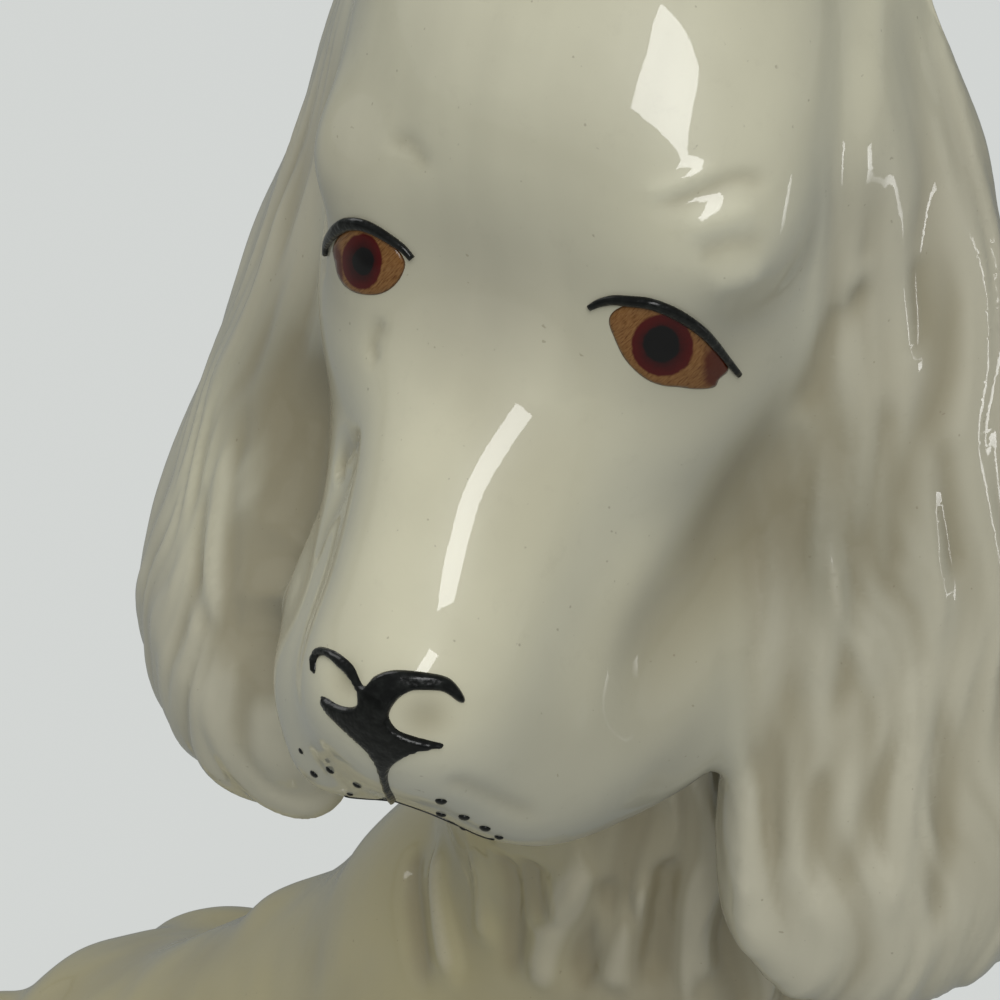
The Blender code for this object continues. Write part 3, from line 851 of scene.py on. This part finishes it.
# One casting's share of the skin, with the normals of the whole skin, so that no joint shows
def skinPiece(casting):
    used, order = np.unique(quadsOf(casting), return_inverse=True)
    mesh = meshFrom(casting.replace("_casting", "") + "_skin", skinPoints[used], order.reshape(-1, 4))
    mesh.normals_split_custom_set_from_vertices([tuple(n) for n in skinNormals[used]])
    opaque = np.ones((len(used), 1))
    addLayer(mesh, "tone", "FLOAT_COLOR", "color", np.concatenate([skinToneAndShade[used], opaque], 1))
    addLayer(mesh, "relief", "FLOAT", "value", skinRelief[used])
    addPiece(mesh, glaze, [casting])


print("splitting the skin into its castings")
skinToneAndShade = glazeToneAndShade(skinPoints, skinNormals, skinRegion)
glaze = glazeFinish()
for casting in castings:
    skinPiece(casting)


# Painted features, traced on the photo and laid on the skin
def insideOutline(outline, spots):
    inside = np.zeros(len(spots), bool)
    after = np.roll(outline, -1, 0)
    for (x0, y0), (x1, y1) in zip(outline, after):
        if y0 == y1:
            continue
        crosses = (y0 > spots[:, 1]) != (y1 > spots[:, 1])
        inside ^= crosses & (spots[:, 0] < (x1 - x0) * (spots[:, 1] - y0) / (y1 - y0) + x0)
    return inside


def edgeDistance(outline, spots):
    return lineDistance(spots, np.concatenate([outline, outline[:1]]))[0]


headQuads = quadsOf("head_casting")
headTree = treeOf(skinPoints, headQuads)


# The spot of the head under a pixel of the photo, with the smooth normal there
def landOnSkin(x, y):
    spot, face = landOn(headTree, x, y)
    corners = headQuads[face]
    weights = 1 / (np.linalg.norm(skinPoints[corners] - np.array(spot), axis=1) + 1e-5)
    normal = (skinNormals[corners] * weights[:, None]).sum(0)
    return np.array(spot), normal / np.linalg.norm(normal)


# A traced patch: points between its pixels, its step in pixels, how near to its edge the inner points
# come, how far it reaches under and over the skin in mm, and how full its dome is
patchForm = {"curveSteps": 5, "step": 3.0, "inset": 0.45, "root": 0.25, "lift": 0.05, "domePower": 0.7}


# A raised patch of enamel: pixels in, a closed shell out
def tracedPatch(name, pixels, height, shoulder, step=patchForm["step"], dome=0.0):
    outline = catmull(pixels, patchForm["curveSteps"], True)
    low = outline.min(0)
    high = outline.max(0)
    grid = np.array([(x, y) for x in np.arange(low[0], high[0], step)
                     for y in np.arange(low[1], high[1], step)])
    inner = grid[insideOutline(outline, grid)]
    inner = inner[edgeDistance(outline, inner) > step * patchForm["inset"]]
    flat = np.concatenate([outline, inner])
    made = delaunay_2d_cdt([Vector(p) for p in flat], [], [list(range(len(outline)))], 1, 1e-4)
    kept = sorted({i for triangle in made[2] for i in triangle})
    place = {index: order for order, index in enumerate(kept)}
    spots = np.array([made[0][index] for index in kept])
    edge = edgeDistance(outline, spots) / shot["pixelsPerMm"]
    rise = height * np.sqrt(np.clip(1 - (1 - np.clip(edge / shoulder, 0, 1)) ** 2, 0, 1))
    rise = rise + dome * np.clip(edge / edge.max(), 0, 1) ** patchForm["domePower"]
    landed = [landOnSkin(x, y) for x, y in spots]
    base = np.array([spot for spot, normal in landed])
    lean = np.array([normal for spot, normal in landed])
    over = base + lean * ((rise + patchForm["lift"]) * mm)[:, None]
    under = base - lean * patchForm["root"] * mm
    count = len(spots)
    faces = []
    used = set()
    for triangle in made[2]:
        ring = [place[i] for i in triangle]
        way = np.cross(over[ring[1]] - over[ring[0]], over[ring[2]] - over[ring[0]])
        if way @ lean[ring[0]] < 0:
            ring.reverse()
        faces.append(tuple(ring))
        faces.append(tuple(i + count for i in reversed(ring)))
        for k in range(3):
            used.add((ring[k], ring[(k + 1) % 3]))
    for first, second in list(used):
        if (second, first) not in used:
            faces.append((second, first, first + count, second + count))
    return meshFrom(name, np.concatenate([over, under]), faces), spots, edge


# The section of a brush line: half a round, and a narrower root under it
brushForm = {"arc": 8, "rootWidth": 0.6, "rootDepth": 0.6}


# A brush line along points of the skin, each with the half width of the line there in mm
def brushLine(name, landed, halfWidths, height):
    rings = []
    for index, (spot, normal) in enumerate(landed):
        before = landed[max(index - 1, 0)][0]
        after = landed[min(index + 1, len(landed) - 1)][0]
        across = np.cross(normal, after - before)
        across /= np.linalg.norm(across)
        half = halfWidths[index] * mm
        ring = []
        for step in range(brushForm["arc"] + 1):
            turn = math.pi * step / brushForm["arc"]
            ring.append(spot + across * half * math.cos(turn) + normal * height * half * math.sin(turn))
        for side in (-1, 1):
            root = across * half * side * brushForm["rootWidth"] - normal * brushForm["rootDepth"] * mm
            ring.append(spot + root)
        rings.append(ring)
    size = len(rings[0])
    faces = []
    for index in range(len(rings) - 1):
        row = index * size
        for k in range(size):
            after = (k + 1) % size
            faces.append((row + k, row + after, row + size + after, row + size + k))
    faces.append(tuple(reversed(range(size))))
    end = (len(rings) - 1) * size
    faces.append(tuple(end + k for k in range(size)))
    mesh = meshFrom(name, np.concatenate([np.array(ring) for ring in rings]), faces)
    work = bmesh.new()
    work.from_mesh(mesh)
    bmesh.ops.recalc_face_normals(work, faces=work.faces)
    work.to_mesh(mesh)
    work.free()
    return mesh


# Black enamel. Streaks: size in mm, begin, full. Brush marks: size, share of the streaks, strength, depth
enamelLook = {
    "black": linear(4, 5, 4),
    "grey": linear(20, 22, 20),
    "streak": (0.8, 0.4, 0.75),
    "brush": (1.6, 0.3, 0.7, 0.35),
    "rough": (0.24, 1.5, 0.12),
    "gloss": {"Specular_IOR_Level": 0.2, "Coat_Weight": 0.4, "Coat_Roughness": 0.1},
}


def enamelFinish():
    look = Finish("black_enamel_brushed")
    size, low, high = enamelLook["streak"]
    streak = look.cloudy(size, 2)
    shade = look.mixed(look.smoothStep(streak, low, high), enamelLook["black"], enamelLook["grey"])
    size, share, strength, depth = enamelLook["brush"]
    normal = look.raised(look.cloudy(size, 2) + streak * share, strength, depth)
    base, size, share = enamelLook["rough"]
    rough = base + look.cloudy(size) * share
    return look.put(Base_Color=shade, Roughness=rough, Normal=normal, **enamelLook["gloss"])


print("laying the enamel")
enamel = enamelFinish()
nosePaint = {
    "height": 0.55, "shoulder": 0.45, "step": 2.6,
    "pixels": [(364, 686), (375, 676), (394, 670), (423, 672), (447, 677), (459, 688), (465, 700),
               (459, 702), (444, 692), (426, 690), (411, 691), (398, 699), (390, 711), (390, 720),
               (398, 730), (413, 736), (432, 741), (443, 744), (441, 748), (432, 749), (413, 753),
               (394, 764), (388, 775), (390, 788), (396, 800), (391, 803), (383, 788), (377, 768),
               (369, 753), (356, 740), (337, 722), (325, 709), (321, 697), (327, 698), (337, 704),
               (348, 707), (357, 705), (358, 694), (350, 678), (338, 666), (325, 656), (317, 659),
               (315, 673), (312, 670), (312, 657), (319, 647), (333, 650), (344, 657), (354, 667)],
}
addPiece(tracedPatch("nose_paint", **nosePaint)[0], enamel, ["nose_enamel"])

# Brush lines along photo pixels: how far each stands on the skin, its height for its width, its half
# width in mm, and where along its length a lid line is thickest
linePaint = {
    "lid_line_right": {
        "pixels": [(327, 254), (329, 243), (336, 232), (345, 225), (354, 223), (364, 224), (376, 229),
                   (389, 237), (403, 247), (413, 258)],
        "steps": 4, "lift": 0.28, "height": 0.75, "half": 0.74, "peak": 0.34,
    },
    "lid_line_left": {
        "pixels": [(590, 307), (600, 302), (614, 299), (631, 300), (649, 302), (667, 308), (684, 317),
                   (700, 329), (713, 343), (725, 358), (738, 374)],
        "steps": 4, "lift": 0.28, "height": 0.75, "half": 0.66, "peak": 0.45,
    },
    "mouth_line": {
        "pixels": [(346, 796), (358, 802), (375, 807), (390, 807), (397, 804), (413, 811), (432, 822),
                   (451, 830), (470, 835), (493, 839)],
        "steps": 3, "lift": 0, "height": 0.7, "half": 0.22, "peak": None,
    },
}


# A lid has blunt ends, half as thick there as at its peak
def lineShare(along, peak):
    if peak is None:
        return 1
    rise = along / peak if along < peak else (1 - along) / (1 - peak)
    return 0.5 + 0.5 * math.sin(math.pi / 2 * rise)


for node, facts in linePaint.items():
    landed = [landOnSkin(x, y) for x, y in catmull(facts["pixels"], facts["steps"], False)]
    landed = [(spot + normal * facts["lift"] * mm, normal) for spot, normal in landed]
    last = len(landed) - 1
    halves = [facts["half"] * lineShare(k / last, facts["peak"]) for k in range(last + 1)]
    line = brushLine(node.replace("mouth_line", "mouth") + "_paint", landed, halves, facts["height"])
    addPiece(line, enamel, [node])

# Whisker dots are low domes, each with a pixel and a radius in pixels. They grow, as they are half sunk
whiskers = {
    "places": [(301, 751, 3), (314, 774, 4.2), (330, 770, 4.4), (357, 785, 4.2), (350, 794, 3),
               (441, 801, 5), (441, 814, 4.6), (464, 817, 5), (463, 828, 4), (485, 828, 5), (499, 837, 4)],
    "grow": 1.25, "flat": 0.55, "around": 16, "up": 10,
}


def whiskerDots():
    work = bmesh.new()
    for x, y, radius in whiskers["places"]:
        spot, normal = landOnSkin(x, y)
        turn = Vector(normal).to_track_quat("Z", "Y").to_matrix().to_4x4()
        turn.translation = Vector(spot)
        size = radius * whiskers["grow"] / shot["pixelsPerMm"] * mm
        made = bmesh.ops.create_uvsphere(work, u_segments=whiskers["around"], v_segments=whiskers["up"],
                                         radius=1)
        squash = Matrix.Diagonal((size, size, size * whiskers["flat"], 1))
        bmesh.ops.transform(work, matrix=turn @ squash, verts=made["verts"])
    mesh = meshOf("whisker_dots_paint", work)
    mesh.shade_smooth()
    return mesh


addPiece(whiskerDots(), enamel, [])

# The painted eyes: outlines and ellipses in photo pixels, sizes in mm. Stroke layers begin and are full
# at a height of the noise. Over them lie ellipses: softness, wandering, shrinking, share, colour
eyeLook = {
    "left": {
        "outline": [(609, 322), (613, 312), (626, 305), (645, 303), (664, 309), (682, 317), (698, 329),
                    (711, 343), (723, 358), (728, 370), (719, 379), (714, 387), (697, 389), (679, 387),
                    (661, 385), (643, 377), (625, 359), (614, 337)],
        "iris": (661.8, 343.3, 30, 31),
        "pupil": (660.9, 341.5, 17.6, 18.2),
        "corner": (718, 366, 17, 24),
    },
    "right": {
        "outline": [(335, 262), (333, 249), (338, 237), (347, 230), (358, 227), (371, 231), (384, 239),
                    (397, 249), (405, 262), (402, 275), (394, 286), (383, 293), (371, 295), (357, 293),
                    (345, 286), (338, 275)],
        "iris": (364.3, 260.6, 19.7, 27.9),
        "pupil": (366, 260, 10.4, 13.9),
        "corner": (339, 268, 6.5, 24),
    },
    "white": linear(112, 74, 34),
    "pale": linear(136, 98, 58),
    "streak": linear(78, 40, 16),
    "deep": linear(70, 14, 3),
    "outer": linear(72, 3, 3),
    "inner": linear(44, 3, 4),
    "black": linear(8, 6, 8),
    "edge": linear(70, 44, 22),
    "strokeLayers": [(0.35, 0.65, 1, "white"), (0.54, 0.66, 0.75, "streak")],
    "layers": [("corner", 0.3, 3, 0, 0.9, "deep"), ("iris", 0.05, 1, 0, 1, "outer"),
               ("iris", 0.25, 2, 0.28, 1, "inner"), ("pupil", 0.09, 1.5, 0, 1, "black")],
    "shell": {"height": 0.12, "shoulder": 0.4, "dome": 0.4},
    "wander": (0.9, 0.12),
    "strokeNoise": (1.6, 5.0, 0.65),
    "slant": (0.55, 0.45, 3.2),
    "rim": (0.5, 0.3, 0.16, 0.02, 0.75),
    "gloss": {"Roughness": 0.3, "Specular_IOR_Level": 0.15, "Coat_Weight": 0.5, "Coat_Roughness": 0.02},
}


# The share of an ellipse at each point, from pixel coordinates that the mesh carries in mm
def ellipse(look, across, rise, facts, soft, wander):
    x, y, wide, high = facts
    scale = shot["pixelsPerMm"]
    u = (across - x / scale) / (wide / scale)
    v = (rise - y / scale) / (high / scale)
    return look.smoothStep((u * u + v * v) ** 0.5 + wander, 1 + soft, 1 - soft)


def eyeFinish(side):
    look = Finish("eye_" + side + "_glaze")
    pixels = look.layer("pixels", "Vector")
    across = look.axis(pixels, 0)
    rise = look.axis(pixels, 1)
    size, share = eyeLook["wander"]
    wander = (look.cloudy(size, 3) - 0.5) * share
    flat, down, steep = eyeLook["slant"]
    slant = {0: across * flat - rise * down, 1: (across + rise) * steep}
    strokes = look.noise(look.node("CombineXYZ", None, slant), *eyeLook["strokeNoise"])
    shade = eyeLook["pale"]
    for low, high, share, colour in eyeLook["strokeLayers"]:
        shade = look.mixed(look.smoothStep(strokes, low, high) * share, shade, eyeLook[colour])
    for part, soft, sway, shrink, share, colour in eyeLook["layers"]:
        there = ellipse(look, across, rise, eyeLook[side][part], soft, wander * sway + shrink)
        shade = look.mixed(there * share, shade, eyeLook[colour])
    size, share, low, high, strength = eyeLook["rim"]
    rim = look.layer("rim") + (look.cloudy(size, 2) - 0.5) * share
    shade = look.mixed(look.smoothStep(rim, low, high) * strength, shade, eyeLook["edge"])
    return look.put(Base_Color=shade, **eyeLook["gloss"])


print("setting the eyes")
for side in ("left", "right"):
    facts = eyeLook["shell"]
    mesh, spots, edge = tracedPatch("eye_" + side + "_dome", eyeLook[side]["outline"], **facts)
    flat = np.concatenate([spots, np.zeros((len(spots), 1))], 1) / shot["pixelsPerMm"]
    addLayer(mesh, "pixels", "FLOAT_VECTOR", "vector", np.concatenate([flat, flat]))
    addLayer(mesh, "rim", "FLOAT", "value", np.concatenate([edge, edge]))
    addPiece(mesh, eyeFinish(side), ["eye_" + side])

# A pale table. The share is how much of its colour is the background's, for the camera alone, so that it
# keeps its shadow
stageLook = {
    "floor": linear(158, 160, 156),
    "background": linear(217, 220, 218),
    "world": linear(206, 210, 208),
    "strength": 0.4,
    "share": 0.9, "half": 40.0, "drop": 0.5,
    "gloss": {"Roughness": 0.9, "Specular_IOR_Level": 0.1},
}
# A strip for the streaks of gloss, soft light from above, a fill for the far ear, and a small lamp for
# the rim of the near ear. Each stands at an azimuth, an elevation and a distance in metres from the head,
# and faces it or its own aim in mm. One that doesn't shine has no reflection
lampAim = (45, -35, 240)
lampLook = {
    "strip": {"from": (28, 37, 1.2), "roll": -35, "size": (0.28, 0.70), "power": 4.2, "shine": True},
    "soft": {"from": (28, 62, 1.5), "roll": 0, "size": (1.0, 1.0), "power": 9.5, "shine": False},
    "fill": {"from": (-105, 36, 1.5), "roll": 0, "size": (0.9, 0.9), "power": 5.5, "shine": True},
    "side": {"from": (109.4, -11.5, 0.276), "roll": 0, "size": (0.016, 0.08), "power": 0.0012,
             "shine": True, "aim": (75, 30, 235), "spread": 32},
}


def shareOut(tree, share, first, second, output):
    both = tree.nodes.new("ShaderNodeMixShader")
    plug(tree, both.inputs[0], share)
    tree.links.new(first.outputs[0], both.inputs[1])
    tree.links.new(second.outputs[0], both.inputs[2])
    tree.links.new(both.outputs[0], tree.nodes[output].inputs["Surface"])


def makeFloor():
    work = bmesh.new()
    bmesh.ops.create_grid(work, x_segments=2, y_segments=2, size=stageLook["half"])
    mesh = meshOf("floor", work)
    look = Finish("plain_floor")
    look.put(Base_Color=stageLook["floor"], **stageLook["gloss"])
    paper = look.tree.nodes.new("ShaderNodeEmission")
    plug(look.tree, paper.inputs["Color"], stageLook["background"])
    seen = look.node("LightPath", out="Is Camera Ray") * stageLook["share"]
    shareOut(look.tree, seen, look.shader, paper, "Material Output")
    mesh.materials.append(look.material)
    floor = newObject("floor", mesh)
    floor.location.z = -stageLook["drop"] * mm


def makeWorld():
    world = bpy.data.worlds.new("studio")
    bpy.context.scene.world = world
    world.use_nodes = True
    tree = world.node_tree
    back = tree.nodes["Background"]
    plug(tree, back.inputs["Color"], stageLook["world"])
    plug(tree, back.inputs["Strength"], stageLook["strength"])
    seen = tree.nodes.new("ShaderNodeBackground")
    plug(tree, seen.inputs["Color"], stageLook["background"])
    path = tree.nodes.new("ShaderNodeLightPath")
    shareOut(tree, Flow(tree, path.outputs["Is Camera Ray"]), back, seen, "World Output")


def makeLamp(name, facts):
    data = bpy.data.lights.new(name, "AREA")
    data.shape = "RECTANGLE"
    data.size, data.size_y = facts["size"]
    data.energy = facts["power"]
    lamp = newObject(name, data)
    lamp.visible_glossy = facts["shine"]
    azimuth, elevation, reach = facts["from"]
    toward = standing(azimuth, elevation)[1]
    spot = Vector(lampAim) * mm + toward * reach
    if "aim" in facts:
        data.spread = math.radians(facts["spread"])
        toward = (spot - Vector(facts["aim"]) * mm).normalized()
    right = Vector((0, 0, 1)).cross(toward).normalized()
    lamp.matrix_world = placed(right, toward, spot) @ Matrix.Rotation(math.radians(facts["roll"]), 4, "Z")


print("lighting the table")
for name, facts in lampLook.items():
    makeLamp(name + "_lamp", facts)
makeFloor()
makeWorld()
makeCamera()
bpy.context.scene.view_settings.view_transform = "Standard"
